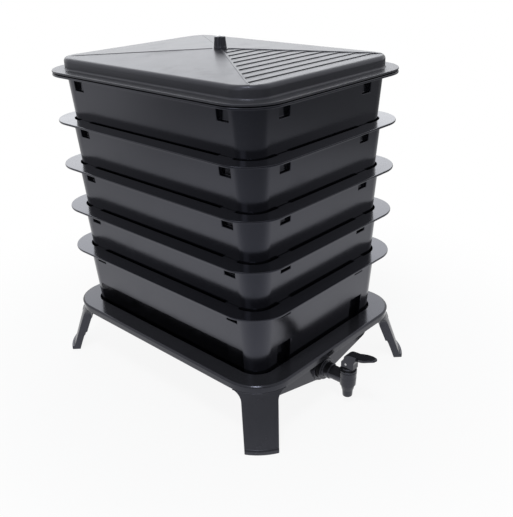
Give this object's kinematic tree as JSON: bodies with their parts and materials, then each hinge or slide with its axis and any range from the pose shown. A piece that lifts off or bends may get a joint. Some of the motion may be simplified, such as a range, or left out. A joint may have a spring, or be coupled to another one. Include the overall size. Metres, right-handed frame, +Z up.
{
  "type": "wormery",
  "caption": "Stacking worm compost bin: nesting perforated trays under a peaked lid, on a collector base with splayed legs and a lever tap.",
  "frame": {"origin": "on the floor under the middle of the four feet", "axes": "+Z up; -Y towards the tap; X across the tap face, with +X to the right seen from the tap"},
  "size_m": [0.3176, 0.4411, 0.4318],
  "materials": {
    "tray_black": "moulded black polypropylene, glossy walls",
    "lid_black": "moulded black polypropylene, satin roof",
    "base_black": "moulded black polypropylene, satin",
    "knob_black": "moulded black plastic",
    "tap_black": "moulded black plastic, satin",
    "lever_gloss": "glossy black plastic",
    "gasket_rubber": "black rubber washer",
    "seat_silicone": "translucent grey silicone",
    "screw_steel": "zinc-plated steel"
  },
  "bodies": {
    "base": {"collector_base": "base_black", "leg_front_left": "base_black", "leg_front_right": "base_black", "leg_back_left": "base_black", "leg_back_right": "base_black", "tap_body": "tap_black", "tap_outer_gasket": "gasket_rubber", "tap_inner_gasket": "gasket_rubber", "tap_nut": "tap_black", "tap_bonnet": "tap_black"},
    "tray_1": {"tray_1": "tray_black"},
    "tray_2": {"tray_2": "tray_black"},
    "tray_3": {"tray_3": "tray_black"},
    "tray_4": {"tray_4": "tray_black"},
    "tray_5": {"tray_5": "tray_black"},
    "lid": {"lid": "lid_black", "lid_knob": "knob_black", "lid_knob_screw": "screw_steel"},
    "tap_valve": {"tap_stem": "tap_black", "tap_seat": "seat_silicone"},
    "tap_lever": {"tap_lever": "lever_gloss", "tap_lever_pin": "screw_steel"}
  },
  "joints": [
    {"name": "tray_1_lift", "type": "slide", "parent": "base", "child": "tray_1", "axis": [0, 0, 1], "range_m": [0, 0.06]},
    {"name": "tray_2_lift", "type": "slide", "parent": "tray_1", "child": "tray_2", "axis": [0, 0, 1], "range_m": [0, 0.06]},
    {"name": "tray_3_lift", "type": "slide", "parent": "tray_2", "child": "tray_3", "axis": [0, 0, 1], "range_m": [0, 0.06]},
    {"name": "tray_4_lift", "type": "slide", "parent": "tray_3", "child": "tray_4", "axis": [0, 0, 1], "range_m": [0, 0.06]},
    {"name": "tray_5_lift", "type": "slide", "parent": "tray_4", "child": "tray_5", "axis": [0, 0, 1], "range_m": [0, 0.06]},
    {"name": "lid_lift", "type": "slide", "parent": "tray_5", "child": "lid", "axis": [0, 0, 1], "range_m": [0, 0.1]},
    {"name": "valve_lift", "type": "slide", "parent": "base", "child": "tap_valve", "axis": [0, 0, 1], "range_m": [0, 0.0052]},
    {"name": "lever_press", "type": "hinge", "parent": "tap_valve", "child": "tap_lever", "pos_m": [0, -0.20095, 0.058], "axis": [1, 0, 0], "range_deg": [0, 30], "stiffness_Nm_per_rad": 0.08, "springref_deg": -20.05}
  ],
  "couplings": [
    {"joint": "valve_lift", "follows": "lever_press", "m_per_rad": 0.009549}
  ]
}
